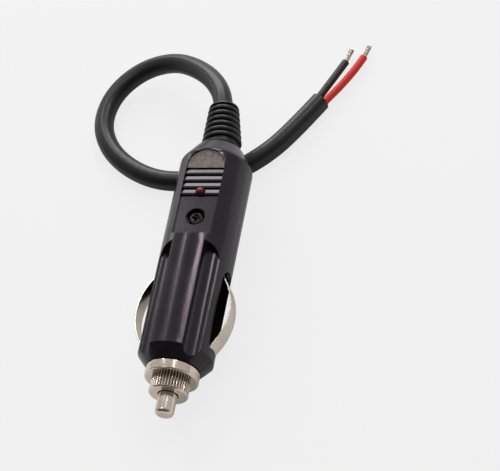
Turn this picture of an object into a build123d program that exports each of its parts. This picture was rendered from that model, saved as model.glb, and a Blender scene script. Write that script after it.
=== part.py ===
from build123d import *
import os
from math import cos, pi, radians, sin, sqrt, tan

os.makedirs("parts", exist_ok=True)

# A fused plug for a 21 mm car lighter socket, in millimetres. Every piece of the plug is drawn about
# the plug's own axis, which runs along +Y from the end of the tip pin to the cord, with the screw and
# the lamp on top. The last section lays the plug on the table, with its tail resting on its own cord.

# Clearances
RUN = 0.06  # turning and sliding fits, on the radius
SEAT = 0.05  # pieces dropped into their seats
PLAY = 0.3  # pieces that pass each other

# Tip pin and fuse
PIN_D = 5.2
PIN_OUT = 6.1  # pin standing out of the fuse cap
PIN_ROUND = 1.1
PIN_SHOULDER_D = 7.0
PIN_SHOULDER_LEN = 1.4
FUSE_D = 6.0
FUSE_LEN = 30.0
FUSE_CAP_LEN = 6.0
FUSE_CAP_WALL = 0.25
FUSE_GLASS_WALL = 0.5
FUSE_WIRE_D = 0.4
SPRING_LEN = 11.8
SPRING_D = 5.8
SPRING_WIRE_D = 0.7
SPRING_TURNS = 6

# Knurled fuse cap, nose ring and thread bush
CAP_D = 10.8
CAP_HEAD_LEN = 4.4
CAP_LIP = 1.6  # front wall that holds the pin in
CAP_HOLE_D = 5.9
CAP_BAND_LEN = 0.5  # smooth band in front of the knurl
CAP_BAND_STEP = 0.05
CAP_CHAMFER = 0.3
CAP_THREAD_D = 8.8
CAP_THREAD_LEN = 10.0
KNURL_COUNT = 40
KNURL_DEPTH = 0.35
RING_D = 14.9
RING_LEN = 3.1
RING_FRONT = 1.1
RING_ROUND = 0.45
SPIGOT_D = 12.8
SPIGOT_LEN = 1.3
BUSH_D = 10.4
BUSH_LEN = 9.6
BUSH_FLANGE_D = 13.8
BUSH_FLANGE_Y = 2.4  # flange behind the bush's front end
BUSH_FLANGE_LEN = 1.2

# Half shells
INSERT_D = 21.0
GRIP_D = 21.2
NOSE_D = 15.2
NOSE_CONE_LEN = 3.4
INSERT_LEN = 35.0  # from the nose cone to the full grip diameter
SHOULDER_LEN = 5.6
TAIL_D = 14.2
TAIL_ROUND = 1.8
TAIL_LEN = 1.4  # rounded end behind the shoulder
SEAM = 0.2  # witness groove round the parting line
FUSE_TUBE_WALL = 0.9
CHAMBER_D = 17.4
CHAMBER_FRONT_D = 14.8  # narrower where the flutes run beside the fuse tube
CHAMBER_ROOF = 6.5  # flat ceiling under the thumb rest, above the axis

# Flutes of the insert
FLUTE_R = 3.6
FLUTE_DEPTH = 1.75
FLUTE_ANGLE = 42.0  # from the top of the plug
FLUTE_BACK = 3.1  # rearmost point of the flute, in front of the panel
FLUTE_ARCH = 6.2
FLUTE_EDGE = 0.2

# Panel with the screw, the lamp and the thumb ribs
PANEL_Z = 8.2
PANEL_HALF = 5.7
PANEL_FRONT = 5.4  # panel's front edge, ahead of the screw
PANEL_WALL_LEAN = 32.0
RIB_BACK = 7.0  # first groove, behind the screw
RIB_PITCH = 2.31
RIB_COUNT = 4
RIB_GROOVE = 0.55
RIB_GROOVE_DEPTH = 0.6
RIB_RISE = 0.4
RIB_FRONT_LEN = 0.5
THUMB_RISE = 1.6  # slope of the rounded thumb rest, up towards the tail
THUMB_OVER = 0.3  # thumb rest running onto the shoulder
LAMP_BACK = 8.2
LAMP_D = 2.9
LAMP_OUT = 1.55  # top of the lamp above the panel
LAMP_FLANGE_D = 3.8
LAMP_FLANGE_LEN = 0.9
LAMP_LEG_D = 0.5
LAMP_LEG_LEN = 2.2
LAMP_LEG_PITCH = 2.54

# Screw
SCREW_BACK = 5.3  # screw behind the fuse tube
SCREW_HEAD_D = 4.5
SCREW_HEAD_LEN = 1.4
SCREW_D = 2.5
SCREW_REACH = 6.4  # screw's point below the axis
SCREW_BORE_D = 5.6
SCREW_SINK = 2.05  # seat of the head below the panel
SCREW_RECESS_W = 0.7
SCREW_RECESS_LEN = 2.7
SCREW_RECESS_DEPTH = 0.9
BOSS_WALL = 0.8

# Side spring contacts
LEAF_T = 0.4
LEAF_W = 5.4
LEAF_REACH = 13.7  # outer face of the bow from the plug's axis
LEAF_R = 18.3
LEAF_FRONT_ANGLE = 41.0
LEAF_REAR_ANGLE = 38.0
LEAF_HEEL_R = 3.0
LEAF_TRAVEL = 2.8
SLOT_W = 7.0
SLOT_LEN = 24.2
SLOT_BACK = 3.3  # front end of the slot behind the nose cone
LEAF_APEX = 10.7  # top of the bow behind the slot's front end
SLOT_WALL = 1.7  # between the slot and the wiring chamber

# Contacts and leads inside
CONTACT_T = 0.7
CONTACT_EDGE = 0.6  # rim of the disc, held in a groove
CONTACT_TAG_W = 1.4
CONTACT_TAG_LEN = 3.2
TUBE_LIP = 1.35
WASHER_T = 0.5
RESISTOR_D = 1.8
RESISTOR_LEN = 4.0
RESISTOR_LEG_LEN = 2.4
LEAD_D = 2.2

# Strain relief and cord
BOOT_D = 11.8
BOOT_END_D = 8.7
BOOT_FLANGE_D = 13.6
BOOT_FLANGE_LEN = 2.4
BOOT_LIP = 2.6  # shell behind the flange
BOOT_NECK = 1.0  # between the shells and the ribs
BOOT_LEN = 14.4
BOOT_RIBS = 6
BOOT_END_LEN = 1.9
BOOT_GROOVE = 0.75
BOOT_GROOVE_DEPTH = 0.85
BOOT_LEAN = 7.0  # the cord pulls the strain relief to one side
BOOT_BORE_PLAY = 0.18
CORD_D = 6.0
CORD_IN = 1.2  # jacket standing in the wiring chamber
CORD_STRAIGHT = 1.7  # straight cord behind the strain relief
CORE_D = 2.3
CONDUCTOR_D = 1.5
CONDUCTOR_GAP = 0.15  # lets the bare wire bend where it leaves its core
LIE_TILT = 3.7  # tail up, because the plug lies on its cord

# Route of the cord on the table, after it leaves the strain relief
CORD_ROUTE = [
    (-6.4, 61.4, 15.0),
    (-14.2, 69.4, 12.6),
    (-24.2, 75.4, 9.6),
    (-35.6, 75.2, 6.4),
    (-44.2, 68.0, 4.0),
    (-46.2, 56.8, 3.0),
    (-41.4, 46.2, 3.0),
    (-32.6, 38.2, 3.0),
    (-21.8, 33.4, 3.0),
    (-10.4, 33.6, 3.0),
    (0.6, 36.8, 3.0),
    (9.8, 44.0, 3.0),
    (16.8, 53.8, 3.0),
    (22.7, 64.1, 3.0),
]
BLACK_CORE_ROUTE = [(21.62, 64.87, 3.0), (24.9, 73.2, 2.5), (27.6, 80.6, 1.9)]
BLACK_TIP = (28.6, 85.8, 1.5)
RED_CORE_ROUTE = [(23.88, 63.57, 3.0), (28.1, 70.8, 2.6), (31.0, 77.0, 2.2), (33.0, 82.5, 1.8)]
RED_TIP = (34.0, 87.1, 1.5)

# Stations along the plug's axis
cap_y = PIN_OUT
ring_y = cap_y + CAP_HEAD_LEN
nose_y = ring_y + RING_LEN
cone_y = nose_y + NOSE_CONE_LEN
grip_y = cone_y + INSERT_LEN
shoulder_pin_y = cap_y + CAP_LIP + SEAT
fuse_y = shoulder_pin_y + PIN_SHOULDER_LEN
spring_y = fuse_y + FUSE_LEN
contact_y = spring_y + SPRING_LEN
tube_end_y = contact_y + CONTACT_T + TUBE_LIP
screw_y = tube_end_y + SCREW_BACK
panel_y = screw_y - PANEL_FRONT
rib_y = screw_y + RIB_BACK
lamp_y = screw_y + LAMP_BACK
thumb_y = rib_y + RIB_COUNT * RIB_PITCH
shoulder_y = thumb_y + PANEL_HALF - THUMB_OVER
tail_y = shoulder_y + SHOULDER_LEN
shell_end_y = tail_y + TAIL_LEN
slot_y = cone_y + SLOT_BACK
slot_end_y = slot_y + SLOT_LEN
apex_y = slot_y + LEAF_APEX
chamber_y = slot_end_y + SLOT_WALL
chamber_step_y = panel_y - FLUTE_BACK + FLUTE_EDGE
flange_y = shell_end_y - BOOT_LIP - BOOT_FLANGE_LEN
chamber_end_y = shoulder_y
jacket_y = chamber_end_y - CORD_IN
bend_y = shell_end_y + BOOT_NECK

# Sizes that follow from the ones above
contact_d = FUSE_D + 2 * PLAY + 2 * CONTACT_EDGE
tube_d = contact_d + 2 * FUSE_TUBE_WALL
bush_y = nose_y - SPIGOT_LEN
bush_flange_y = bush_y + BUSH_FLANGE_Y
leaf_mid = LEAF_REACH - LEAF_T / 2
leaf_centre_x = leaf_mid - LEAF_R
leaf_front_x = leaf_centre_x + LEAF_R * cos(radians(LEAF_FRONT_ANGLE))
leaf_front_y = apex_y - LEAF_R * sin(radians(LEAF_FRONT_ANGLE))
leaf_heel_x = leaf_centre_x + LEAF_R * cos(radians(LEAF_REAR_ANGLE))
leaf_tail_x = leaf_heel_x - LEAF_HEEL_R * (1 - cos(radians(LEAF_REAR_ANGLE)))
leaf_tail_y = chamber_y - 2 * SEAT
pocket_in = min(leaf_front_x, leaf_tail_x) - LEAF_T / 2 - LEAF_TRAVEL - PLAY
pocket_out = leaf_tail_x + LEAF_T / 2 + PLAY
washer_y = chamber_y + SEAT
boss_d = SCREW_BORE_D + 2 * BOSS_WALL
head_z = PANEL_Z - SCREW_SINK
lamp_base_z = CHAMBER_ROOF - SEAT - LAMP_FLANGE_LEN
lamp_top_z = PANEL_Z + LAMP_OUT
core_pitch = CORE_D + 2 * SEAT
outside = GRIP_D  # further out than anything on the shells


def across(y):
    """Plane across the plug's axis, facing the cord, with its own y axis pointing up."""
    return Plane((0, y, 0), x_dir=(-1, 0, 0), z_dir=(0, 1, 0))


def rod(diameter, start, end, mode=Mode.ADD):
    """Round length of material, or of bore, along the plug's axis."""
    with Locations((0, (start + end) / 2, 0)):
        Cylinder(diameter / 2, end - start, rotation=(90, 0, 0), mode=mode)


def post(diameter, y, low, high, mode=Mode.ADD):
    """Upright round post, or hole, on the plug's middle plane."""
    with Locations((0, y, low)):
        Cylinder(diameter / 2, high - low, align=(Align.CENTER, Align.CENTER, Align.MIN), mode=mode)


# Cutter for one flute, drawn at the top of the plug. Its rear end is a quarter arch that runs furthest
# back beside the middle land.
flute_axis_z = INSERT_D / 2 - FLUTE_DEPTH + FLUTE_R
flute_arch_y = panel_y - FLUTE_BACK - FLUTE_ARCH
flute_half = sqrt(FLUTE_R**2 - (flute_axis_z - GRIP_D / 2) ** 2)
with BuildPart() as flute:
    with BuildSketch(across(ring_y)):
        with Locations((0, flute_axis_z)):
            Circle(FLUTE_R)
    extrude(amount=panel_y - ring_y)
    with BuildSketch(Plane.XY):
        with BuildLine():
            Line((-FLUTE_R, ring_y), (FLUTE_R, ring_y))
            Line((FLUTE_R, ring_y), (FLUTE_R, flute_arch_y))
            Line((FLUTE_R, flute_arch_y), (flute_half, flute_arch_y))
            EllipticalCenterArc((-flute_half, flute_arch_y), 2 * flute_half, FLUTE_ARCH, arc_size=90)
            Line((-flute_half, flute_arch_y + FLUTE_ARCH), (-FLUTE_R, flute_arch_y + FLUTE_ARCH))
            Line((-FLUTE_R, flute_arch_y + FLUTE_ARCH), (-FLUTE_R, ring_y))
        make_face()
    extrude(amount=outside, mode=Mode.INTERSECT)

# Cutter for the flat panel on top: a leaning front wall, the flat round the screw, saw-tooth thumb ribs
# between narrow grooves, and a thumb rest that rises towards the tail and ends in a half round.
with BuildPart() as panel:
    half_groove = RIB_GROOVE / 2
    wall_run = (outside - PANEL_Z) * tan(radians(PANEL_WALL_LEAN))
    profile = [(panel_y - wall_run, outside), (panel_y, PANEL_Z)]
    for i in range(RIB_COUNT + 1):
        groove_y = rib_y + i * RIB_PITCH
        profile += [
            (groove_y - half_groove, PANEL_Z),
            (groove_y - half_groove, PANEL_Z - RIB_GROOVE_DEPTH),
            (groove_y + half_groove, PANEL_Z - RIB_GROOVE_DEPTH),
            (groove_y + half_groove, PANEL_Z + RIB_RISE / 2),
        ]
        if i < RIB_COUNT:
            profile += [(groove_y + half_groove + RIB_FRONT_LEN, PANEL_Z + RIB_RISE)]
    thumb_end_y = thumb_y + PANEL_HALF + 1
    profile += [(thumb_end_y, PANEL_Z + RIB_RISE / 2 + THUMB_RISE), (thumb_end_y, outside)]
    with BuildSketch(Plane.YZ):
        with BuildLine():
            Polyline(*profile, close=True)
        make_face()
    extrude(amount=PANEL_HALF, both=True)
    with BuildSketch(Plane.XY):
        with Locations((0, (panel_y + thumb_y) / 2 - outside / 2)):
            Rectangle(2 * PANEL_HALF, thumb_y - panel_y + outside)
        with Locations((0, thumb_y)):
            Circle(PANEL_HALF)
    extrude(amount=outside, mode=Mode.INTERSECT)

# Half outline of the closed housing
with BuildSketch(Plane.XY) as outline:
    with BuildLine():
        Polyline(
            (0, nose_y - SPIGOT_LEN),
            (SPIGOT_D / 2, nose_y - SPIGOT_LEN),
            (SPIGOT_D / 2, nose_y),
            (NOSE_D / 2, nose_y),
            (INSERT_D / 2, cone_y),
            (GRIP_D / 2, grip_y),
            (GRIP_D / 2, shoulder_y),
            (TAIL_D / 2, tail_y),
            (BOOT_D / 2, shell_end_y),
            (0, shell_end_y),
            close=True,
        )
    make_face()
    fillet(outline.vertices().sort_by_distance((GRIP_D / 2, shoulder_y))[0], radius=SHOULDER_LEN / 2)
    fillet(outline.vertices().sort_by_distance((TAIL_D / 2, tail_y))[0], radius=TAIL_ROUND)

# Closed housing with everything that is cut out of it
with BuildPart() as housing:
    add(outline.sketch)
    revolve(axis=Axis.Y)
    right_flute = flute.part.rotate(Axis.Y, FLUTE_ANGLE)
    left_flute = right_flute.mirror(Plane.YZ)
    for cutter in (right_flute, left_flute):
        add(cutter, mode=Mode.SUBTRACT)
        add(cutter.mirror(Plane.XY), mode=Mode.SUBTRACT)
    long_edges = housing.edges().filter_by(lambda e: abs((e @ 1 - e @ 0).Y) > INSERT_LEN / 2)
    fillet(long_edges.filter_by(lambda e: abs(e.center().Z) > FLUTE_R / 2), radius=FLUTE_EDGE)
    add(panel.part, mode=Mode.SUBTRACT)

    # Wiring chamber, with the fuse tube and the screw boss left standing in it
    for diameter, start in ((CHAMBER_FRONT_D, chamber_y), (CHAMBER_D, chamber_step_y)):
        with BuildSketch(across(start)):
            Circle(diameter / 2)
            with Locations((0, CHAMBER_ROOF - CHAMBER_D)):
                Rectangle(2 * CHAMBER_D, 2 * CHAMBER_D, mode=Mode.INTERSECT)
        extrude(amount=chamber_end_y - start, mode=Mode.SUBTRACT)
    rod(tube_d, chamber_y, tube_end_y)
    post(boss_d, screw_y, -CHAMBER_D / 2, CHAMBER_ROOF)

    # Round seats along the axis
    rod(BUSH_D + 2 * SEAT, bush_y, bush_y + BUSH_LEN + SEAT, Mode.SUBTRACT)
    rod(BUSH_FLANGE_D + 2 * SEAT, bush_flange_y - SEAT, bush_flange_y + BUSH_FLANGE_LEN + SEAT, Mode.SUBTRACT)
    rod(FUSE_D + 2 * PLAY, bush_y, tube_end_y, Mode.SUBTRACT)
    rod(contact_d + 2 * SEAT, contact_y - SEAT, contact_y + CONTACT_T + SEAT, Mode.SUBTRACT)
    rod(CORD_D + 2 * SEAT, chamber_end_y, shell_end_y, Mode.SUBTRACT)
    rod(BOOT_FLANGE_D + 2 * SEAT, flange_y - SEAT, flange_y + BOOT_FLANGE_LEN + SEAT, Mode.SUBTRACT)
    rod(BOOT_D + 2 * SEAT, flange_y, shell_end_y, Mode.SUBTRACT)

    # Pockets that the side contacts spring into, and the slots that they bow out of
    with BuildSketch(Plane.XY):
        with BuildLine():
            Polyline(
                (pocket_in, leaf_front_y - PLAY),
                (leaf_front_x + LEAF_T / 2 + PLAY, leaf_front_y - PLAY),
                (INSERT_D / 2 + PLAY, slot_y),
                (outside, slot_y),
                (outside, slot_end_y - SLOT_W / 2),
                (pocket_out, slot_end_y - SLOT_W / 2),
                (pocket_out, washer_y + WASHER_T + SEAT),
                (pocket_in, washer_y + WASHER_T + SEAT),
                close=True,
            )
        make_face()
        mirror(about=Plane.YZ)
    extrude(amount=LEAF_W / 2 + PLAY, both=True, mode=Mode.SUBTRACT)
    for side in (1, -1):
        with BuildSketch(Plane.YZ.offset(side * pocket_in)):
            with Locations(((slot_y + slot_end_y - SLOT_W / 2) / 2, 0)):
                Rectangle(SLOT_LEN - SLOT_W / 2, SLOT_W)
            with Locations((slot_end_y - SLOT_W / 2, 0)):
                Circle(SLOT_W / 2)
        extrude(amount=side * outside, mode=Mode.SUBTRACT)

    # Screw and lamp holes
    post(SCREW_BORE_D, screw_y, head_z, outside, Mode.SUBTRACT)
    post(SCREW_D + 2 * PLAY, screw_y, 0, head_z, Mode.SUBTRACT)
    post(SCREW_D + 2 * SEAT, screw_y, -SCREW_REACH - PLAY, 0, Mode.SUBTRACT)
    post(LAMP_D + 2 * SEAT, lamp_y, 0, outside, Mode.SUBTRACT)

    # Witness groove where the halves meet
    with BuildSketch(Plane.XY):
        add(outline.sketch)
        mirror(outline.sketch, about=Plane.YZ)
        offset(amount=-SEAM, mode=Mode.SUBTRACT)
    extrude(amount=SEAM / 2, both=True, mode=Mode.SUBTRACT)

with BuildPart() as upper_shell:
    add(housing.part)
    split(bisect_by=Plane.XY, keep=Keep.TOP)

with BuildPart() as lower_shell:
    add(housing.part)
    split(bisect_by=Plane.XY, keep=Keep.BOTTOM)

# Screw that holds the halves together, with a cross recess
with BuildPart() as housing_screw:
    post(SCREW_HEAD_D, screw_y, head_z, head_z + SCREW_HEAD_LEN)
    fillet(housing_screw.edges().sort_by(Axis.Z)[-1], radius=SCREW_HEAD_LEN * 0.6)
    post(SCREW_D, screw_y, -SCREW_REACH, head_z)
    chamfer(housing_screw.edges().sort_by(Axis.Z)[0], length=SCREW_D / 4)
    with Locations((0, screw_y, head_z + SCREW_HEAD_LEN)):
        Box(SCREW_RECESS_LEN, SCREW_RECESS_W, 2 * SCREW_RECESS_DEPTH, mode=Mode.SUBTRACT)
        Box(SCREW_RECESS_W, SCREW_RECESS_LEN, 2 * SCREW_RECESS_DEPTH, mode=Mode.SUBTRACT)

# Lamp with its two legs, and the resistor in line with one of them
with BuildPart() as indicator_lamp:
    post(LAMP_D, lamp_y, lamp_base_z, lamp_top_z - LAMP_D / 2)
    with Locations((0, lamp_y, lamp_top_z - LAMP_D / 2)):
        Sphere(LAMP_D / 2)
    post(LAMP_FLANGE_D, lamp_y, lamp_base_z, lamp_base_z + LAMP_FLANGE_LEN)
    with Locations((0, lamp_y, lamp_base_z - LAMP_LEG_LEN / 2)):
        with GridLocations(LAMP_LEG_PITCH, 0, 2, 1):
            Cylinder(LAMP_LEG_D / 2, LAMP_LEG_LEN)

with BuildPart() as lamp_resistor:
    resistor_y = lamp_y + LAMP_LEG_D / 2 + SEAT + RESISTOR_LEG_LEN + RESISTOR_LEN / 2
    with Locations((LAMP_LEG_PITCH / 2, resistor_y, lamp_base_z - LAMP_LEG_LEN + LAMP_LEG_D)):
        Cylinder(RESISTOR_D / 2, RESISTOR_LEN, rotation=(90, 0, 0))
        Cylinder(LAMP_LEG_D / 2, RESISTOR_LEN + 2 * RESISTOR_LEG_LEN, rotation=(90, 0, 0))

# Brass bush that the fuse cap screws into, held by its flange between the halves
with BuildPart() as thread_bush:
    rod(BUSH_D, bush_y + SEAT, bush_y + BUSH_LEN)
    rod(BUSH_FLANGE_D, bush_flange_y, bush_flange_y + BUSH_FLANGE_LEN)
    rod(CAP_THREAD_D + 2 * RUN, bush_y, bush_y + BUSH_LEN, Mode.SUBTRACT)

# Nose ring: a loose collar that the cap pulls over the spigot of the two halves
with BuildPart() as nose_ring:
    rod(RING_D, ring_y, nose_y - SEAT)
    fillet(nose_ring.edges(), radius=RING_ROUND)
    rod(CAP_THREAD_D + 2 * RUN, ring_y, nose_y, Mode.SUBTRACT)
    rod(SPIGOT_D + PLAY, ring_y + RING_FRONT, nose_y, Mode.SUBTRACT)

# Knurled fuse cap
with BuildPart() as fuse_cap:
    knurl_y = cap_y + CAP_BAND_LEN
    with BuildSketch(across(knurl_y)):
        Circle(CAP_D / 2)
        with PolarLocations(CAP_D / 2, KNURL_COUNT):
            RegularPolygon(KNURL_DEPTH, 4, mode=Mode.SUBTRACT)
    extrude(amount=ring_y - SEAT - knurl_y)
    rod(CAP_D + 2 * CAP_BAND_STEP, cap_y, knurl_y)
    chamfer(fuse_cap.edges().group_by(Axis.Y)[0], length=CAP_CHAMFER)
    rod(CAP_THREAD_D, knurl_y, ring_y + CAP_THREAD_LEN)
    rod(CAP_HOLE_D, cap_y, ring_y, Mode.SUBTRACT)
    rod(PIN_SHOULDER_D + PLAY, cap_y + CAP_LIP, ring_y + CAP_THREAD_LEN, Mode.SUBTRACT)

# Tip pin, pushed out against the cap's lip by the spring behind the fuse
with BuildPart() as tip_pin:
    rod(PIN_D, 0, fuse_y)
    fillet(tip_pin.edges().sort_by(Axis.Y)[0], radius=PIN_ROUND)
    rod(PIN_SHOULDER_D, shoulder_pin_y, fuse_y)

# Glass fuse: two end cups on a tube, with the fuse wire between them
glass_d = FUSE_D - 2 * FUSE_CAP_WALL
glass_y = fuse_y + FUSE_CAP_WALL
glass_end_y = spring_y - FUSE_CAP_WALL
with BuildPart() as fuse_front_cap:
    rod(FUSE_D, fuse_y, fuse_y + FUSE_CAP_LEN)
    rod(glass_d + 2 * SEAT, glass_y, fuse_y + FUSE_CAP_LEN, Mode.SUBTRACT)

with BuildPart() as fuse_rear_cap:
    rod(FUSE_D, spring_y - FUSE_CAP_LEN, spring_y)
    rod(glass_d + 2 * SEAT, spring_y - FUSE_CAP_LEN, glass_end_y, Mode.SUBTRACT)

with BuildPart() as fuse_tube:
    rod(glass_d, glass_y, glass_end_y)
    rod(glass_d - 2 * FUSE_GLASS_WALL, glass_y, glass_end_y, Mode.SUBTRACT)

with BuildPart() as fuse_element:
    rod(FUSE_WIRE_D, glass_y, glass_end_y)

# Coil spring between the fuse and the rear contact
with BuildPart() as fuse_spring:
    coil_len = SPRING_LEN - SPRING_WIRE_D - 2 * SEAT
    with BuildLine() as coil:
        Helix(
            pitch=coil_len / SPRING_TURNS,
            height=coil_len,
            radius=(SPRING_D - SPRING_WIRE_D) / 2,
            center=(0, spring_y + SPRING_WIRE_D / 2 + SEAT, 0),
            direction=(0, 1, 0),
        )
    with BuildSketch(Plane(coil.line @ 0, z_dir=coil.line % 0)):
        Circle(SPRING_WIRE_D / 2)
    sweep(path=coil.line)

# Rear contact: a disc in the fuse tube with a solder tag
with BuildPart() as rear_contact:
    tag_x = FUSE_D / 2
    rod(contact_d, contact_y, contact_y + CONTACT_T)
    with Locations((tag_x, contact_y + CONTACT_T + CONTACT_TAG_LEN / 2, 0)):
        Box(CONTACT_TAG_W, CONTACT_TAG_LEN, CONTACT_T, align=(Align.MAX, Align.CENTER, Align.CENTER))

# Ground washer round the fuse tube, with an ear behind the tail of each side contact
with BuildPart() as ground_washer:
    with BuildSketch(across(washer_y)):
        Circle(CHAMBER_ROOF - SEAT)
        Rectangle(2 * (pocket_out - SEAT), LEAF_W)
        Circle(tube_d / 2 + SEAT, mode=Mode.SUBTRACT)
    extrude(amount=WASHER_T)

# Side contact: a bowed strip whose ends are trapped behind the walls of its slot
with BuildPart() as right_spring_contact:
    with BuildSketch(Plane.XY):
        with BuildLine():
            bow = CenterArc(
                (leaf_centre_x, apex_y), LEAF_R, -LEAF_FRONT_ANGLE, LEAF_FRONT_ANGLE + LEAF_REAR_ANGLE
            )
            heel = JernArc(bow @ 1, bow % 1, LEAF_HEEL_R, -LEAF_REAR_ANGLE)
            Line(heel @ 1, (leaf_tail_x, leaf_tail_y))
        trace(line_width=LEAF_T)
    extrude(amount=LEAF_W / 2, both=True)

with BuildPart() as left_spring_contact:
    mirror(right_spring_contact.part, about=Plane.YZ)


def wire(points, diameter, bend):
    """Round wire along straight runs that are joined by tangent arcs."""
    with BuildLine():
        path = FilletPolyline(*points, radius=bend)
    with BuildSketch(Plane(path @ 0, z_dir=path % 0)) as section:
        Circle(diameter / 2)
    sweep(section.sketch, path=path)
    return path.length


# Leads from the cord to the contacts, on either side of the screw boss
lead_x = boss_d / 2 + LEAD_D / 2 + PLAY
with BuildPart() as red_lead:
    wire(
        [
            (tag_x + LEAD_D / 2 + SEAT, tube_end_y + PLAY, 0),
            (lead_x + PLAY, screw_y - 2, 0),
            (lead_x, screw_y + 4, 0),
            (core_pitch / 2, jacket_y - 5, 0),
            (core_pitch / 2, jacket_y - SEAT, 0),
        ],
        LEAD_D,
        2 * LEAD_D,
    )

with BuildPart() as black_lead:
    wire(
        [
            (-(tube_d + LEAD_D) / 2 - SEAT, washer_y + WASHER_T + SEAT, 0),
            (-(tube_d + LEAD_D) / 2 - SEAT, screw_y - 4, 0),
            (-lead_x, screw_y + 4, 0),
            (-core_pitch / 2, jacket_y - 5, 0),
            (-core_pitch / 2, jacket_y - SEAT, 0),
        ],
        LEAD_D,
        2 * LEAD_D,
    )

# Strain relief: a flange held by the shells, a straight neck, and a ribbed cone that leans with the cord
lean = radians(BOOT_LEAN)
lean_dir = Vector(-sin(lean), cos(lean), 0)
lean_plane = Plane((0, bend_y, 0), x_dir=(cos(lean), sin(lean), 0), z_dir=(0, 0, 1))
rib_run = (BOOT_LEN - BOOT_END_LEN) / BOOT_RIBS


def boot_r(along):
    """Outer radius of the strain relief at a distance along its ribbed cone."""
    return (BOOT_D + (BOOT_END_D - BOOT_D) * along / BOOT_LEN) / 2


with BuildPart() as strain_relief:
    with BuildSketch(lean_plane):
        with BuildLine():
            floor_r = boot_r(0) - BOOT_GROOVE_DEPTH
            last = Line((0, -BOOT_GROOVE), (floor_r, -BOOT_GROOVE)) @ 1
            for i in range(BOOT_RIBS):
                start = i * rib_run + BOOT_GROOVE
                end = (i + 1) * rib_run
                floor_r = boot_r(start) - BOOT_GROOVE_DEPTH
                flank_r = boot_r(start) - BOOT_GROOVE_DEPTH / 3
                last = Polyline(last, (floor_r, start), (flank_r, start)) @ 1
                last = ThreePointArc(last, (boot_r(start), (start + end) / 2), (flank_r - 0.05, end)) @ 1
                last = Line(last, (boot_r(end) - BOOT_GROOVE_DEPTH, end)) @ 1
            cap_start = BOOT_LEN - BOOT_END_LEN + BOOT_GROOVE
            last = Polyline(last, (last.X, cap_start), (boot_r(cap_start), cap_start)) @ 1
            last = Line(last, (boot_r(BOOT_LEN), BOOT_LEN - BOOT_END_LEN / 3)) @ 1
            last = Polyline(last, (boot_r(BOOT_LEN) - BOOT_END_LEN / 3, BOOT_LEN), (0, BOOT_LEN)) @ 1
            Line(last, (0, -BOOT_GROOVE))
        make_face()
    revolve(axis=Axis((0, bend_y, 0), lean_dir))
    rod(BOOT_FLANGE_D, flange_y, flange_y + BOOT_FLANGE_LEN)
    rod(BOOT_D, flange_y, bend_y - BOOT_D / 2 * tan(lean))
    rod(CORD_D + 2 * BOOT_BORE_PLAY, flange_y, bend_y + BOOT_GROOVE, Mode.SUBTRACT)
    with BuildSketch(Plane((0, bend_y, 0), z_dir=lean_dir).offset(-BOOT_GROOVE)):
        Circle(CORD_D / 2 + BOOT_BORE_PLAY)
    extrude(amount=BOOT_LEN + 2 * BOOT_GROOVE, mode=Mode.SUBTRACT)

# The plug lies on the table nose down, and the middle of its footprint is the origin
turn = Location((0, 0, 0), (LIE_TILT, 0, 0))
boxes = [piece.part.moved(turn).bounding_box() for piece in (tip_pin, lower_shell, strain_relief)]
middle_y = (min(box.min.Y for box in boxes) + max(box.max.Y for box in boxes)) / 2
lowest_z = min(box.min.Z for box in boxes)
lie_down = Location((0, -middle_y, -lowest_z), (LIE_TILT, 0, 0))


def on_table(point):
    """Where a point of the plug lies once the plug is on the table."""
    return (lie_down * Location(point)).position


def bends(points):
    """Radius of each corner of a cord: as large as the two runs beside it allow."""
    radii = []
    for before, corner, after in zip(points, points[1:], points[2:]):
        arriving = corner - before
        leaving = after - corner
        half_turn = radians(arriving.get_angle(leaving)) / 2
        radii.append(0.45 * min(arriving.length, leaving.length) / tan(half_turn))
    return radii


cord_points = [
    on_table((0, jacket_y, 0)),
    on_table((0, bend_y, 0)),
    on_table(Vector(0, bend_y, 0) + lean_dir * (BOOT_LEN + CORD_STRAIGHT)),
] + [Vector(point) for point in CORD_ROUTE]
cord_radii = bends(cord_points)
print("pin tip on the table", tuple(round(value, 4) for value in on_table((0, 0, 0))))
print("cord route", [tuple(round(value, 2) for value in point) for point in cord_points])
print("cord bends", [round(radius, 1) for radius in cord_radii])
with BuildPart() as cord_jacket:
    cord_length = wire(cord_points, CORD_D, cord_radii)
print("cord length", round(cord_length, 2), "volume", round(cord_jacket.part.volume, 1))
print("section times length", round(pi * CORD_D**2 / 4 * cord_length, 1))

# Two insulated cores leave the end of the jacket side by side and end in bare tinned wire
with BuildPart() as black_core:
    black_points = [Vector(point) for point in BLACK_CORE_ROUTE]
    wire(black_points, CORE_D, bends(black_points))

with BuildPart() as red_core:
    red_points = [Vector(point) for point in RED_CORE_ROUTE]
    wire(red_points, CORE_D, bends(red_points))


def bare_end(core_end, tip):
    """Straight stripped end of a core."""
    run = Vector(tip) - Vector(core_end)
    start = Vector(core_end) + run.normalized() * CONDUCTOR_GAP
    with BuildSketch(Plane(start, z_dir=run)) as section:
        Circle(CONDUCTOR_D / 2)
    extrude(section.sketch, amount=run.length - CONDUCTOR_GAP)


with BuildPart() as black_conductor:
    bare_end(BLACK_CORE_ROUTE[-1], BLACK_TIP)

with BuildPart() as red_conductor:
    bare_end(RED_CORE_ROUTE[-1], RED_TIP)

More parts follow.
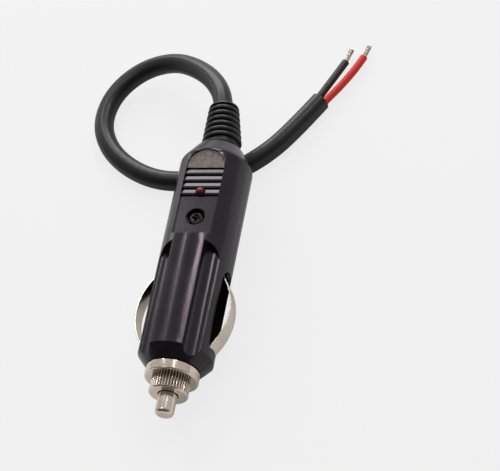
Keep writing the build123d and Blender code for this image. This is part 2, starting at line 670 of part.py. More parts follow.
plug_pieces = {
    "upper_shell": upper_shell,
    "lower_shell": lower_shell,
    "housing_screw": housing_screw,
    "indicator_lamp": indicator_lamp,
    "lamp_resistor": lamp_resistor,
    "thread_bush": thread_bush,
    "nose_ring": nose_ring,
    "fuse_cap": fuse_cap,
    "tip_pin": tip_pin,
    "fuse_front_cap": fuse_front_cap,
    "fuse_rear_cap": fuse_rear_cap,
    "fuse_tube": fuse_tube,
    "fuse_element": fuse_element,
    "fuse_spring": fuse_spring,
    "rear_contact": rear_contact,
    "ground_washer": ground_washer,
    "right_spring_contact": right_spring_contact,
    "left_spring_contact": left_spring_contact,
    "red_lead": red_lead,
    "black_lead": black_lead,
    "strain_relief": strain_relief,
}
cord_pieces = {
    "cord_jacket": cord_jacket,
    "black_core": black_core,
    "red_core": red_core,
    "black_conductor": black_conductor,
    "red_conductor": red_conductor,
}
for name, piece in plug_pieces.items():
    laid = piece.part.moved(lie_down)
    laid.label = name
    export_step(laid, f"parts/{name}.step")
for name, piece in cord_pieces.items():
    piece.part.label = name
    export_step(piece.part, f"parts/{name}.step")
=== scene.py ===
"""Looks of a fused plug for a car's lighter socket, lying on a pale table with its cord looped behind it."""

from math import cos, pi, radians, sin

import bmesh
import bpy
from mathutils import Matrix, Vector


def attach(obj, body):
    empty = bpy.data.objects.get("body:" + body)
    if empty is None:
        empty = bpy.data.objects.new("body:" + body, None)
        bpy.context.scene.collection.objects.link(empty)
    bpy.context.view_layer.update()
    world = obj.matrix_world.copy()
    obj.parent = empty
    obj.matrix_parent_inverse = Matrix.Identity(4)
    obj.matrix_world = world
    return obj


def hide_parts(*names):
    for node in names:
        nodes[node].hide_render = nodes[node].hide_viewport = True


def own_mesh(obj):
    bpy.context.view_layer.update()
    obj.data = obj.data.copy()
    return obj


MM = 0.001
MICRON = 0.000001

# The plug lies tail up by this angle, and its tip pin ends here
LIE_TILT = radians(3.7)
PIN_TIP = Vector((0.0, -51.216, 9.381)) * MM
PLUG = Matrix.Translation(PIN_TIP) @ Matrix.Rotation(LIE_TILT, 4, "X")

# Camera, in the plug's own axes: nose towards -Y, lamp up
CAMERA_PLACE = Vector((171.56, -215.74, 422.07)) * MM
CAMERA_RIGHT = Vector((0.95424, 0.16793, -0.24742))
CAMERA_UP = Vector((-0.00627, 0.83846, 0.54493))
CAMERA_LENS = 135.25
CAMERA_SENSOR = 36.0

# Cord: route in millimetres, from inside the strain relief to the end of the jacket
CORD_ROUTE = [
    (0.0, 27.36, 14.46),
    (0.0, 36.54, 15.06),
    (-1.96, 52.49, 16.09),
    (-6.4, 61.4, 15.0),
    (-14.2, 69.4, 12.6),
    (-24.2, 75.4, 9.6),
    (-35.6, 75.2, 6.4),
    (-44.2, 68.0, 4.0),
    (-46.2, 56.8, 3.0),
    (-41.4, 46.2, 3.0),
    (-32.6, 38.2, 3.0),
    (-21.8, 33.4, 3.0),
    (-10.4, 33.6, 3.0),
    (0.6, 36.8, 3.0),
    (9.8, 44.0, 3.0),
    (16.8, 53.8, 3.0),
    (22.7, 64.1, 3.0),
]
CORD_D = 6.0 * MM
CORD_CORES = 2
CORD_HOLLOW = 0.16 * MM  # how far the jacket sinks in between its two cores
CORD_SHARP = 4.0  # power that narrows these hollows
CORD_TWIST = radians(150)  # slow twist of the two cores over the cord's length
CORD_AROUND = 48  # faces round the jacket
LINE_ORDER = 3  # order of the smooth lines of the cord and the strands
LINE_STEPS = 12  # straight bits from one point of such a line to the next

# Bare ends of the two cores, in millimetres: end of the insulation and tip
BLACK_BARE = ((27.6, 80.6, 1.9), (28.6, 85.8, 1.5))
RED_BARE = ((33.0, 82.5, 1.8), (34.0, 87.1, 1.5))
STRAND_D = 0.29 * MM
STRAND_RINGS = (1, 6, 12)  # strands in the middle and in each ring round it
STRAND_POINTS = 6
STRAND_AROUND = 8  # faces round a strand
STRAND_TURN = radians(120)  # lay of the strands over the bare length
STRAND_PACK = 0.92  # distance from ring to ring, as a share of a strand's diameter
STRAND_SPLAY = 0.22  # how much that share grows towards the tip
STRAND_UNEVEN = 0.09  # how much shorter the shortest strand is, as a share of its length

# Thumb rest, in the plug's own axes: a half round behind the last groove, matt, with a mottled warm sheen
# painted into its colour
THUMB_Y = 74.54 * MM  # centre of the half round
THUMB_HALF = 5.66 * MM  # its radius
THUMB_START = 74.85 * MM  # where it starts, behind the last groove
THUMB_LOW = 7.9 * MM  # what lies lower isn't part of it
THUMB_ROUGH = 0.46
THUMB_GRAIN = 900.0  # spots per metre
THUMB_PAINTED_SHEEN = ((0.2, 0.165, 0.14), (0.42, 0.38, 0.345))

# Knurl of the fuse cap: where it starts behind the tip, the radius of its grooves and its crests, and the
# colour of the shade painted into its grooves
KNURL_START = 6.62 * MM
KNURL_FLOOR = 5.1 * MM
KNURL_TOP = 5.34 * MM
KNURL_PAINTED_SHADE = (0.09, 0.075, 0.06, 1.0)

# Rounding that moulds, dies and plating leave on edges
SHELL_EDGE = 0.12 * MM
METAL_EDGE = 0.06 * MM
RUBBER_EDGE = 0.1 * MM
NO_EDGE = 0
EDGE_STEPS = 2
SMOOTH_ANGLE = radians(32)  # a sharper bend is an edge
FLAT_ANGLE = radians(0.3)  # faces that bend less are one face
MERGE = 0.002 * MM  # points that are closer are one point

# Moulded finishes: dark and light colour, range of roughness, depth of the grain, grains per metre
SHELL = ((0.006, 0.0055, 0.0065), (0.012, 0.011, 0.012), (0.15, 0.27), 3 * MICRON, 4000.0)
SHELL_SHEEN = (1.0, 0.9, 0.98, 1.0)  # tint of what the black plastic mirrors
MOULDED = {
    "boot_rubber": ((0.006, 0.006, 0.0065), (0.013, 0.0125, 0.0125), (0.3, 0.44), 6 * MICRON, 4000.0),
    "cord_vinyl": ((0.006, 0.006, 0.0065), (0.014, 0.0135, 0.0135), (0.32, 0.44), 1 * MICRON, 3000.0),
    "black_vinyl": ((0.008, 0.008, 0.009), (0.018, 0.018, 0.018), (0.4, 0.54), 1.5 * MICRON, 4000.0),
    "red_vinyl": ((0.66, 0.014, 0.006), (0.78, 0.024, 0.011), (0.48, 0.62), 1.5 * MICRON, 4000.0),
    "resistor_lacquer": ((0.5, 0.36, 0.2), (0.62, 0.47, 0.28), (0.3, 0.4), 4 * MICRON, 4000.0),
}
MOULDED_GRAIN = 0.35  # share of the grain in the roughness, beside the blotches

# Plated finishes: dull and bright colour, range of roughness, turned lines per metre, depth of the lines
NICKEL = ((0.72, 0.63, 0.51), (0.98, 0.89, 0.76), (0.1, 0.2), 9000.0, 1 * MICRON)
PLATED = {
    "nickel_plate": NICKEL,
    "contact_nickel": ((0.7, 0.63, 0.52), (0.88, 0.82, 0.7), (0.14, 0.26), 5000.0, 2 * MICRON),
    "screw_plate": ((0.02, 0.019, 0.018), (0.06, 0.056, 0.052), (0.18, 0.3), 6000.0, 4 * MICRON),
    "spring_wire": ((0.5, 0.5, 0.49), (0.66, 0.65, 0.63), (0.2, 0.34), 9000.0, 4 * MICRON),
    "bush_brass": ((0.62, 0.42, 0.16), (0.8, 0.58, 0.27), (0.2, 0.36), 9000.0, 4 * MICRON),
    "tinned_copper": ((0.26, 0.2, 0.13), (0.66, 0.57, 0.44), (0.24, 0.4), 7000.0, 4 * MICRON),
}
PLATED_BLOTCHES = 160.0  # dulled patches per metre
PLATED_LINES = 0.4  # share of the lines in the roughness, beside the blotches

# Lens of the lamp and glass of the fuse
LAMP_RED = ((0.05, 0.001, 0.003), (0.11, 0.003, 0.006))
LAMP_ROUGH = (0.1, 0.2)
LAMP_GRAIN = 3 * MICRON
GLASS_TINT = (0.9, 0.95, 0.94, 1.0)
GLASS_ROUGH = (0.02, 0.07)

# Values of noise from 0 to 1 mostly lie between these
NOISE_LOW = 0.3
NOISE_HIGH = 0.7

# Table and light
TABLE_HALF = 1.5
TABLE_COLOUR = (0.88, 0.88, 0.88, 1.0)
TABLE_TONE = (0.92, 0.92, 0.92, 1.0)
TABLE_EVEN = 0.86  # share of the table's tone that is even, and takes no shadow
TABLE_MIRRORED = 0.15  # how much of that share shows in reflections
STUDIO_TINT = (1.0, 0.95, 1.0, 1.0)
FRONT_LIGHT = 0.08  # brightness of the studio in front and behind, where 1 is white
BACK_LIGHT = 0.46
FRONT_EDGE = -0.6  # where it changes from the one to the other, as a direction's share along Y
BACK_EDGE = 0.2
WHITE = (1.0, 1.0, 1.0)
ROSE_WHITE = (1.0, 0.93, 0.93)

# Inputs A and B and the output of a Mix node, by its kind
MIX_SOCKETS = {"FLOAT": (2, 3, 0), "RGBA": (6, 7, 2)}

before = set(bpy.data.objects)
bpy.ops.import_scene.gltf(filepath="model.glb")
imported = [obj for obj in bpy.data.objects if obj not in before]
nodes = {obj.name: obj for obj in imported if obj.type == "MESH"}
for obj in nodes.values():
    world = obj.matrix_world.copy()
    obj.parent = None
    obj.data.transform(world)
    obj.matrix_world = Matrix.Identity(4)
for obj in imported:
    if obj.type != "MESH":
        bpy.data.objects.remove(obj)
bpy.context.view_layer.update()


# Small helpers for objects and node trees
def put(name, data):
    """New object in the scene that shows the data."""
    thing = bpy.data.objects.new(name, data)
    bpy.context.scene.collection.objects.link(thing)
    return thing


def wear(mesh, finish):
    """Make a finish the only material of a mesh."""
    mesh.materials.clear()
    mesh.materials.append(finish)


def add_node(tree, kind, **settings):
    """New node with its properties set."""
    node = tree.nodes.new(kind)
    for name, value in settings.items():
        setattr(node, name, value)
    return node


def join(tree, value, socket):
    """Link an output to a socket, or set the socket to a plain value."""
    if isinstance(value, bpy.types.NodeSocket):
        tree.links.new(value, socket)
    else:
        socket.default_value = value


def feed(tree, node, **inputs):
    """Fill a node's inputs by name with values or with other nodes' outputs. An underscore is a space."""
    for name, value in inputs.items():
        join(tree, value, node.inputs[name.replace("_", " ")])
    return node


def sums(tree, operation, first, second=0.0):
    """Output of a math node on one or two numbers or outputs."""
    node = add_node(tree, "ShaderNodeMath", operation=operation)
    for socket, value in zip(node.inputs, (first, second)):
        join(tree, value, socket)
    return node.outputs["Value"]


def squares(tree, first, second):
    """Sum of the squares of two outputs."""
    return sums(tree, "ADD", sums(tree, "POWER", first, 2.0), sums(tree, "POWER", second, 2.0))


def blend(tree, first, second, share):
    """Two outputs added up, the first by its share and the second by the rest."""
    rest = sums(tree, "MULTIPLY", second, 1.0 - share)
    return sums(tree, "ADD", sums(tree, "MULTIPLY", first, share), rest)


def new_group(name, kind, inputs, outputs):
    """Empty node group with named sockets. Returns the group, its input node and its output node."""
    group = bpy.data.node_groups.new(name, kind)
    for socket_name, socket_type, value in inputs:
        socket = group.interface.new_socket(socket_name, in_out="INPUT", socket_type=socket_type)
        if value is not None:
            socket.default_value = value
    for socket_name, socket_type in outputs:
        group.interface.new_socket(socket_name, in_out="OUTPUT", socket_type=socket_type)
    return group, group.nodes.new("NodeGroupInput"), group.nodes.new("NodeGroupOutput")


def along_plug(tree, place):
    """Node that gives a vector's X, Y and Z along the plug's own axes."""
    level = add_node(tree, "ShaderNodeMapping")
    feed(tree, level, Vector=place, Rotation=(-LIE_TILT, 0.0, 0.0))
    return feed(tree, add_node(tree, "ShaderNodeSeparateXYZ"), Vector=level.outputs["Vector"])


def plug_place(tree, place):
    """Node whose X, Y and Z are a point's place in the plug's own axes, from the end of the tip pin."""
    from_tip = add_node(tree, "ShaderNodeVectorMath", operation="SUBTRACT")
    join(tree, place, from_tip.inputs[0])
    join(tree, PIN_TIP, from_tip.inputs[1])
    return along_plug(tree, from_tip.outputs["Vector"])


# Effects that several finishes share
def make_grain_group():
    """Fine moulding grain and broad, faint blotches, both from 0 to 1."""
    group, given, result = new_group(
        "moulded_grain",
        "ShaderNodeTree",
        [
            ("Vector", "NodeSocketVector", None),
            ("Grain per metre", "NodeSocketFloat", 4000.0),
            ("Blotches per metre", "NodeSocketFloat", 90.0),
        ],
        [("Grain", "NodeSocketFloat"), ("Blotch", "NodeSocketFloat")],
    )
    grain = add_node(group, "ShaderNodeTexNoise")
    feed(group, grain, Vector=given.outputs["Vector"], Scale=given.outputs["Grain per metre"])
    feed(group, grain, Detail=3.0, Roughness=0.6)
    blotch = add_node(group, "ShaderNodeTexNoise")
    feed(group, blotch, Vector=given.outputs["Vector"], Scale=given.outputs["Blotches per metre"])
    feed(group, blotch, Detail=4.0, Roughness=0.55)
    feed(group, result, Grain=grain.outputs[0], Blotch=blotch.outputs[0])
    return group


def make_turned_group():
    """Fine rings round the plug's axis, as a lathe or a brush leaves them, from 0 to 1."""
    group, given, result = new_group(
        "turned_lines",
        "ShaderNodeTree",
        [("Vector", "NodeSocketVector", None), ("Lines per metre", "NodeSocketFloat", 9000.0)],
        [("Lines", "NodeSocketFloat")],
    )
    apart = along_plug(group, given.outputs["Vector"])
    along = sums(group, "MULTIPLY", apart.outputs["Y"], given.outputs["Lines per metre"])
    lines = add_node(group, "ShaderNodeTexNoise", noise_dimensions="1D")
    feed(group, lines, W=along, Scale=1.0, Detail=2.0)
    feed(group, result, Lines=lines.outputs[0])
    return group


GRAIN = make_grain_group()
TURNED = make_turned_group()


def grain_node(tree, place, **counts):
    """Node that gives the shared grain and blotches, at a finish's own counts per metre where it has them."""
    skin = add_node(tree, "ShaderNodeGroup", node_tree=GRAIN)
    return feed(tree, skin, Vector=place, **counts)


def between(tree, noise, low, high):
    """Number that runs from low to high over the usual range of noise."""
    node = add_node(tree, "ShaderNodeMapRange")
    feed(tree, node, Value=noise, From_Min=NOISE_LOW, From_Max=NOISE_HIGH, To_Min=low, To_Max=high)
    return node.outputs["Result"]


def tint(tree, noise, low, high):
    """Colour that runs from low to high over the usual range of noise."""
    ramp = add_node(tree, "ShaderNodeValToRGB")
    for stop, place, colour in zip(ramp.color_ramp.elements, (NOISE_LOW, NOISE_HIGH), (low, high)):
        stop.position = place
        stop.color = (*colour, 1.0)
    feed(tree, ramp, Fac=noise)
    return ramp.outputs["Color"]


def parts_of(finish):
    """Node tree, Principled shader and object coordinates of a finish."""
    tree = finish.node_tree
    place = next(node for node in tree.nodes if node.type == "TEX_COORD").outputs["Object"]
    return tree, tree.nodes["Principled BSDF"], place


def new_finish(name):
    """Material with a Principled shader and object coordinates."""
    finish = bpy.data.materials.new(name)
    finish.use_nodes = True
    add_node(finish.node_tree, "ShaderNodeTexCoord")
    return finish


def bump(tree, shader, height, depth):
    """Relief of the given depth in metres on the shader's normal."""
    node = add_node(tree, "ShaderNodeBump")
    feed(tree, node, Height=height, Strength=1.0, Distance=depth)
    feed(tree, shader, Normal=node.outputs["Normal"])


def swap_in(tree, shader, name, kind, mask, other):
    """Where mask is one, another value or output takes the place of what feeds the shader's input."""
    first, second, out = MIX_SOCKETS[kind]
    mix = add_node(tree, "ShaderNodeMix", data_type=kind)
    join(tree, mask, mix.inputs[0])
    join(tree, shader.inputs[name].links[0].from_socket, mix.inputs[first])
    join(tree, other, mix.inputs[second])
    join(tree, mix.outputs[out], shader.inputs[name])


# Finishes
def moulded_finish(name, dark, light, rough, grain_depth, grains):
    """Moulded plastic or rubber: a little uneven in colour and gloss, with a fine grain."""
    finish = new_finish(name)
    tree, shader, place = parts_of(finish)
    skin = grain_node(tree, place, Grain_per_metre=grains)
    uneven = blend(tree, skin.outputs["Grain"], skin.outputs["Blotch"], MOULDED_GRAIN)
    feed(tree, shader, Base_Color=tint(tree, skin.outputs["Blotch"], dark, light))
    feed(tree, shader, Roughness=between(tree, uneven, *rough))
    bump(tree, shader, skin.outputs["Grain"], grain_depth)
    return finish


def thumb_mask(tree, place):
    """One on the rounded thumb rest of the upper shell, and nought elsewhere."""
    apart = plug_place(tree, place)
    behind = sums(tree, "SUBTRACT", apart.outputs["Y"], THUMB_Y)
    reach = squares(tree, apart.outputs["X"], behind)
    inside = sums(tree, "LESS_THAN", reach, THUMB_HALF**2)
    on_top = sums(tree, "GREATER_THAN", apart.outputs["Z"], THUMB_LOW)
    past_groove = sums(tree, "GREATER_THAN", apart.outputs["Y"], THUMB_START)
    return sums(tree, "MULTIPLY", sums(tree, "MULTIPLY", inside, on_top), past_groove)


def shell_finish():
    """Glossy black moulding with a matt thumb rest, whose colour holds a painted, mottled warm sheen."""
    finish = moulded_finish("shell_plastic", *SHELL)
    tree, shader, place = parts_of(finish)
    feed(tree, shader, Specular_Tint=SHELL_SHEEN)
    mask = thumb_mask(tree, place)
    sheen_spots = grain_node(tree, place, Grain_per_metre=THUMB_GRAIN)
    swap_in(tree, shader, "Roughness", "FLOAT", mask, THUMB_ROUGH)
    # Painted sheen: on the thumb rest, a mottled warm grey-brown colour stands in for the reflection of a
    # warm light on the black plastic
    swap_in(tree, shader, "Base Color", "RGBA", mask, tint(tree, sheen_spots.outputs["Grain"], *THUMB_PAINTED_SHEEN))
    return finish


def plated_finish(name, dull, bright, rough, lines, line_depth):
    """Plated metal: turned or drawn lines, with patches that have dulled."""
    finish = new_finish(name)
    tree, shader, place = parts_of(finish)
    skin = grain_node(tree, place, Blotches_per_metre=PLATED_BLOTCHES)
    turned = add_node(tree, "ShaderNodeGroup", node_tree=TURNED)
    feed(tree, turned, Vector=place, Lines_per_metre=lines)
    worn = blend(tree, turned.outputs["Lines"], skin.outputs["Blotch"], PLATED_LINES)
    feed(tree, shader, Base_Color=tint(tree, skin.outputs["Blotch"], dull, bright), Metallic=1.0)
    feed(tree, shader, Roughness=between(tree, worn, *rough))
    bump(tree, shader, turned.outputs["Lines"], line_depth)
    return finish


def knurled_finish():
    """Nickel of the fuse cap, with painted shade that darkens the grooves of its knurl towards their floor.
    """
    finish = plated_finish("cap_nickel", *NICKEL)
    tree, shader, place = parts_of(finish)
    apart = plug_place(tree, place)
    out = sums(tree, "SQRT", squares(tree, apart.outputs["X"], apart.outputs["Z"]))
    deep = add_node(tree, "ShaderNodeMapRange")
    feed(tree, deep, Value=out, From_Min=KNURL_FLOOR, From_Max=KNURL_TOP, To_Min=1.0, To_Max=0.0)
    on_knurl = sums(tree, "GREATER_THAN", apart.outputs["Y"], KNURL_START)
    groove_shade = sums(tree, "MULTIPLY", deep.outputs["Result"], on_knurl)
    # Painted shade: the knurl's grooves turn dark towards their floor, standing in for the shade that falls
    # in them
    swap_in(tree, shader, "Base Color", "RGBA", groove_shade, KNURL_PAINTED_SHADE)
    return finish


def lamp_finish():
    """Dark red tinted lens with a glossy skin."""
    finish = new_finish("lamp_lens")
    tree, shader, place = parts_of(finish)
    skin = grain_node(tree, place, Grain_per_metre=1500.0, Blotches_per_metre=500.0)
    feed(tree, shader, Base_Color=tint(tree, skin.outputs["Blotch"], *LAMP_RED))
    feed(tree, shader, Roughness=between(tree, skin.outputs["Grain"], *LAMP_ROUGH))
    feed(tree, shader, Coat_Weight=0.15, Coat_Roughness=0.06)
    bump(tree, shader, skin.outputs["Grain"], LAMP_GRAIN)
    return finish


def fuse_glass_finish():
    """Clear glass of the fuse."""
    finish = new_finish("fuse_glass")
    tree, shader, place = parts_of(finish)
    skin = grain_node(tree, place, Blotches_per_metre=120.0)
    feed(tree, shader, Base_Color=GLASS_TINT, Transmission_Weight=1.0, IOR=1.5)
    feed(tree, shader, Roughness=between(tree, skin.outputs["Blotch"], *GLASS_ROUGH))
    return finish


finishes = {
    "shell_plastic": shell_finish(),
    "cap_nickel": knurled_finish(),
    "lamp_lens": lamp_finish(),
    "fuse_glass": fuse_glass_finish(),
}
for name, look in MOULDED.items():
    finishes[name] = moulded_finish(name, *look)
for name, look in PLATED.items():
    finishes[name] = plated_finish(name, *look)


# Pieces that keep the solid's shape, with their edges eased and their curved faces smooth
def dress(node, body, finish, edge):
    """Merged copy of a solid with eased edges, which takes the solid's place."""
    mesh = nodes[node].data.copy()
    mesh.name = node + "_skin"
    work = bmesh.new()
    work.from_mesh(mesh)
    bmesh.ops.remove_doubles(work, verts=work.verts, dist=MERGE)
    bmesh.ops.dissolve_degenerate(work, edges=work.edges, dist=MERGE)
    bmesh.ops.dissolve_limit(work, angle_limit=FLAT_ANGLE, verts=work.verts, edges=work.edges)
    work.to_mesh(mesh)
    work.free()
    mesh.shade_smooth()
    mesh.set_sharp_from_angle(angle=SMOOTH_ANGLE)
    wear(mesh, finishes[finish])
    piece = put(node + "_skin", mesh)
    if edge:
        ease = piece.modifiers.new("eased_edges", "BEVEL")
        ease.width = edge
        ease.segments = EDGE_STEPS
        ease.limit_method = "ANGLE"
        ease.angle_limit = SMOOTH_ANGLE
        ease.harden_normals = False
        weigh = piece.modifiers.new("flat_faces", "WEIGHTED_NORMAL")
        weigh.keep_sharp = True
    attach(piece, body)
    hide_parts(node)
    return piece


dress("upper_shell", "housing", "shell_plastic", SHELL_EDGE)
dress("lower_shell", "housing", "shell_plastic", SHELL_EDGE)
dress("strain_relief", "housing", "boot_rubber", RUBBER_EDGE)
dress("housing_screw", "housing", "screw_plate", METAL_EDGE)
dress("indicator_lamp", "housing", "lamp_lens", NO_EDGE)
dress("nose_ring", "collar", "nickel_plate", METAL_EDGE)
dress("fuse_cap", "cap", "cap_nickel", METAL_EDGE)
dress("tip_pin", "tip", "nickel_plate", METAL_EDGE)
dress("left_spring_contact", "left_contact", "contact_nickel", METAL_EDGE)
dress("right_spring_contact", "right_contact", "contact_nickel", METAL_EDGE)
black_core = dress("black_core", "housing", "black_vinyl", METAL_EDGE)
red_core = dress("red_core", "housing", "red_vinyl", METAL_EDGE)

# Coil spring behind the fuse, given a mesh of its own
fuse_spring = dress("fuse_spring", "housing", "spring_wire", NO_EDGE)
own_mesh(fuse_spring)

# Pieces inside, which show only where the plug is open
for node, finish in (
    ("lamp_resistor", "resistor_lacquer"),
    ("thread_bush", "bush_brass"),
    ("rear_contact", "bush_brass"),
    ("ground_washer", "bush_brass"),
    ("fuse_front_cap", "nickel_plate"),
    ("fuse_rear_cap", "nickel_plate"),
    ("fuse_tube", "fuse_glass"),
    ("fuse_element", "tinned_copper"),
    ("red_lead", "red_vinyl"),
    ("black_lead", "black_vinyl"),
):
    wear(nodes[node].data, finishes[finish])


# Lines, and tubes that grow along them
def new_curve(name):
    """Empty curve in space."""
    curve = bpy.data.curves.new(name, "CURVE")
    curve.dimensions = "3D"
    curve.resolution_u = LINE_STEPS
    return curve


def add_line(curve, places):
    """Smooth open line with the places as its control points."""
    spline = curve.splines.new("NURBS")
    spline.points.add(len(places) - 1)
    for point, place in zip(spline.points, places):
        point.co = (*place, 1.0)
    spline.order_u = LINE_ORDER
    spline.use_endpoint_u = True


def line_points(line):
    """Points along a curve, as its own mesh gives them."""
    bpy.context.view_layer.update()
    mesh = bpy.data.meshes.new_from_object(line)
    points = [vertex.co.copy() for vertex in mesh.vertices]
    bpy.data.meshes.remove(mesh)
    return points


def new_tube(name, diameter, around, *more):
    """Start of a tree that grows a tube along lines. Returns the tree, its input node and its output node."""
    inputs = [
        ("Geometry", "NodeSocketGeometry", None),
        ("Diameter", "NodeSocketFloat", diameter),
        ("Faces round", "NodeSocketInt", around),
        ("Material", "NodeSocketMaterial", None),
        *more,
    ]
    return new_group(name, "GeometryNodeTree", inputs, [("Geometry", "NodeSocketGeometry")])


def round_profile(tree, given):
    """Circle of the tube's diameter."""
    ring = add_node(tree, "GeometryNodeCurvePrimitiveCircle")
    feed(tree, ring, Resolution=given.outputs["Faces round"])
    feed(tree, ring, Radius=sums(tree, "MULTIPLY", given.outputs["Diameter"], 0.5))
    return ring.outputs["Curve"]


def finish_tube(tree, given, result, line, profile):
    """End of such a tree: the profile swept along the line, as a smooth real mesh with its material."""
    tube = add_node(tree, "GeometryNodeCurveToMesh")
    feed(tree, tube, Curve=line, Profile_Curve=profile, Fill_Caps=True)
    smooth = add_node(tree, "GeometryNodeSetShadeSmooth")
    feed(tree, smooth, Geometry=tube.outputs["Mesh"])
    real = add_node(tree, "GeometryNodeRealizeInstances")
    feed(tree, real, Geometry=smooth.outputs["Geometry"])
    paint = add_node(tree, "GeometryNodeSetMaterial")
    feed(tree, paint, Geometry=real.outputs["Geometry"], Material=given.outputs["Material"])
    feed(tree, result, Geometry=paint.outputs["Geometry"])


def grown_piece(name, source, tree, finish):
    """Plain mesh piece that a tree grows along a source's lines. The source is then removed."""
    modifier = source.modifiers.new("grow", "NODES")
    modifier.node_group = tree
    inputs = {item.name: item.identifier for item in tree.interface.items_tree if item.in_out == "INPUT"}
    modifier[inputs["Material"]] = finishes[finish]
    ready = source.evaluated_get(bpy.context.evaluated_depsgraph_get())
    mesh = bpy.data.meshes.new_from_object(ready)
    mesh.name = name
    source.modifiers.remove(modifier)
    bpy.data.objects.remove(source)
    return put(name, mesh)


# Cord
def make_jacket_tree():
    """Tube along a line, round but for two shallow hollows where the jacket sinks between its cores."""
    tree, given, result = new_tube(
        "cord_jacket_tube",
        CORD_D,
        CORD_AROUND,
        ("Hollow", "NodeSocketFloat", CORD_HOLLOW),
        ("Twist", "NodeSocketFloat", CORD_TWIST),
    )
    along = add_node(tree, "GeometryNodeSplineParameter")
    tilt = add_node(tree, "GeometryNodeSetCurveTilt")
    feed(tree, tilt, Curve=given.outputs["Geometry"])
    feed(tree, tilt, Tilt=sums(tree, "MULTIPLY", along.outputs["Factor"], given.outputs["Twist"]))
    turn = add_node(tree, "GeometryNodeSplineParameter")
    wave = sums(tree, "COSINE", sums(tree, "MULTIPLY", turn.outputs["Factor"], CORD_CORES * 2 * pi))
    from_nought = sums(tree, "MULTIPLY", sums(tree, "ADD", wave, 1.0), 0.5)
    hollow = sums(tree, "POWER", from_nought, CORD_SHARP)
    radius = sums(tree, "MULTIPLY", given.outputs["Diameter"], 0.5)
    share = sums(tree, "DIVIDE", given.outputs["Hollow"], radius)
    scale = sums(tree, "SUBTRACT", 1.0, sums(tree, "MULTIPLY", hollow, share))
    place = add_node(tree, "GeometryNodeInputPosition")
    pull = add_node(tree, "ShaderNodeVectorMath", operation="SCALE")
    feed(tree, pull, Vector=place.outputs["Position"], Scale=scale)
    shape = add_node(tree, "GeometryNodeSetPosition")
    feed(tree, shape, Geometry=round_profile(tree, given), Position=pull.outputs["Vector"])
    finish_tube(tree, given, result, tilt.outputs["Curve"], shape.outputs["Geometry"])
    return tree


cord_curve = new_curve("cord_line")
add_line(cord_curve, [Vector(place) * MM for place in CORD_ROUTE])
cord_line = put("cord_line", cord_curve)
cord_path = line_points(cord_line)
cord = grown_piece("cord", cord_line, make_jacket_tree(), "cord_vinyl")
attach(cord, "housing")
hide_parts("cord_jacket")


# Bare ends: a bundle of tinned strands that open a little at the tip
def strand_lines(name, core_end, tip):
    """Lines of the strands: one in the middle and rings round it, which turn with the lay."""
    start = Vector(core_end) * MM
    run = Vector(tip) * MM - start
    side = run.orthogonal().normalized()
    other = run.normalized().cross(side)
    curve = new_curve(name)
    for ring, count in enumerate(STRAND_RINGS):
        for k in range(count):
            cut = 0.5 + 0.5 * sin(5.0 * k + 2.0 * ring)  # from 0 to 1, in no order that shows
            reach = 1.0 - STRAND_UNEVEN * cut
            places = []
            for i in range(STRAND_POINTS):
                share = i / (STRAND_POINTS - 1)
                angle = 2 * pi * k / count + STRAND_TURN * share
                radius = ring * STRAND_D * (STRAND_PACK + STRAND_SPLAY * share**2)
                places.append(start + run * share * reach + (side * cos(angle) + other * sin(angle)) * radius)
            add_line(curve, places)
    return put(name, curve)


def make_strand_tree():
    """Thin round tube along each line."""
    tree, given, result = new_tube("bare_strands", STRAND_D, STRAND_AROUND)
    finish_tube(tree, given, result, given.outputs["Geometry"], round_profile(tree, given))
    return tree


strand_tree = make_strand_tree()
for name, ends in (("black", BLACK_BARE), ("red", RED_BARE)):
    lines = strand_lines(name + "_lines", *ends)
    bare = grown_piece(name + "_strands", lines, strand_tree, "tinned_copper")
    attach(bare, "housing")
    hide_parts(name + "_conductor")


# Table and light
def table_finish():
    """Pale table: it shows as an even tone and still takes part of the plug's shadow."""
    finish = bpy.data.materials.new("pale_table")
    finish.use_nodes = True
    tree = finish.node_tree
    shader = tree.nodes["Principled BSDF"]
    feed(tree, shader, Base_Color=TABLE_COLOUR, Roughness=0.9, Specular_IOR_Level=0.1)
    even = add_node(tree, "ShaderNodeEmission")
    feed(tree, even, Color=TABLE_TONE, Strength=1.0)
    ray = add_node(tree, "ShaderNodeLightPath")
    mirrored = sums(tree, "MAXIMUM", ray.outputs["Is Glossy Ray"], ray.outputs["Is Transmission Ray"])
    fainter = sums(tree, "MULTIPLY", mirrored, TABLE_MIRRORED)
    seen = sums(tree, "MAXIMUM", ray.outputs["Is Camera Ray"], fainter)
    mix = add_node(tree, "ShaderNodeMixShader")
    feed(tree, mix, Fac=sums(tree, "MULTIPLY", seen, TABLE_EVEN))
    join(tree, shader.outputs["BSDF"], mix.inputs[1])
    join(tree, even.outputs["Emission"], mix.inputs[2])
    feed(tree, tree.nodes["Material Output"], Surface=mix.outputs["Shader"])
    return finish


table_mesh = bpy.data.meshes.new("table")
corners = [(x * TABLE_HALF, y * TABLE_HALF, 0) for x, y in ((-1, -1), (1, -1), (1, 1), (-1, 1))]
table_mesh.from_pydata(corners, [], [(0, 1, 2, 3)])
wear(table_mesh, table_finish())
table = put("table", table_mesh)


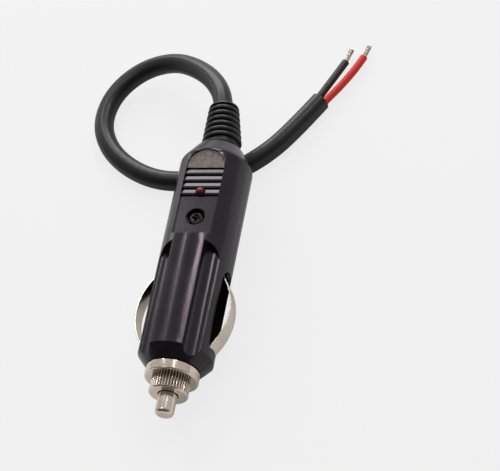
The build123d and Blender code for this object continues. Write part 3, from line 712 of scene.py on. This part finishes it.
def softbox(name, place, width, height, radiance, colour=WHITE):
    """Soft rectangular lamp that faces the plug. Radiance is how bright its face looks, where 1 is white."""
    lamp = bpy.data.lights.new(name, "AREA")
    lamp.shape = "RECTANGLE"
    lamp.size = width
    lamp.size_y = height
    lamp.energy = radiance * pi * width * height
    lamp.color = colour
    holder = put(name, lamp)
    holder.location = place
    holder.rotation_euler = (-Vector(place)).to_track_quat("-Z", "Y").to_euler()


softbox("back_softbox", (-0.25, 0.85, 0.45), width=0.8, height=0.36, radiance=5.0)
softbox("right_land_strip", (0.31, 0.5, 0.78), width=0.04, height=0.3, radiance=40.0, colour=ROSE_WHITE)
softbox("left_land_strip", (-0.44, 0.5, 0.72), width=0.035, height=0.3, radiance=18.0)
softbox("left_strip", (-0.8, 0.5, 0.17), width=0.12, height=0.24, radiance=3.0)
softbox("top_softbox", (-0.28, 0.06, 0.95), width=0.4, height=0.3, radiance=2.0)


def studio_world():
    """Pale studio all round, which falls off to a dark front where the viewer stands."""
    world = bpy.data.worlds.new("studio")
    bpy.context.scene.world = world
    world.use_nodes = True
    tree = world.node_tree
    towards = add_node(tree, "ShaderNodeTexCoord").outputs["Generated"]
    apart = add_node(tree, "ShaderNodeSeparateXYZ")
    feed(tree, apart, Vector=towards)
    level = add_node(tree, "ShaderNodeMapRange")
    feed(tree, level, Value=apart.outputs["Y"], From_Min=FRONT_EDGE, From_Max=BACK_EDGE)
    feed(tree, level, To_Min=FRONT_LIGHT, To_Max=BACK_LIGHT)
    feed(tree, tree.nodes["Background"], Color=STUDIO_TINT, Strength=level.outputs["Result"])


studio_world()

camera_data = bpy.data.cameras.new("camera")
camera_data.sensor_width = CAMERA_SENSOR
camera_data.lens = CAMERA_LENS
camera = put("camera", camera_data)
camera_turn = Matrix((CAMERA_RIGHT, CAMERA_UP, CAMERA_RIGHT.cross(CAMERA_UP))).transposed().to_4x4()
camera.matrix_world = PLUG @ Matrix.Translation(CAMERA_PLACE) @ camera_turn
bpy.context.scene.camera = camera

bpy.context.scene.view_settings.view_transform = "Standard"
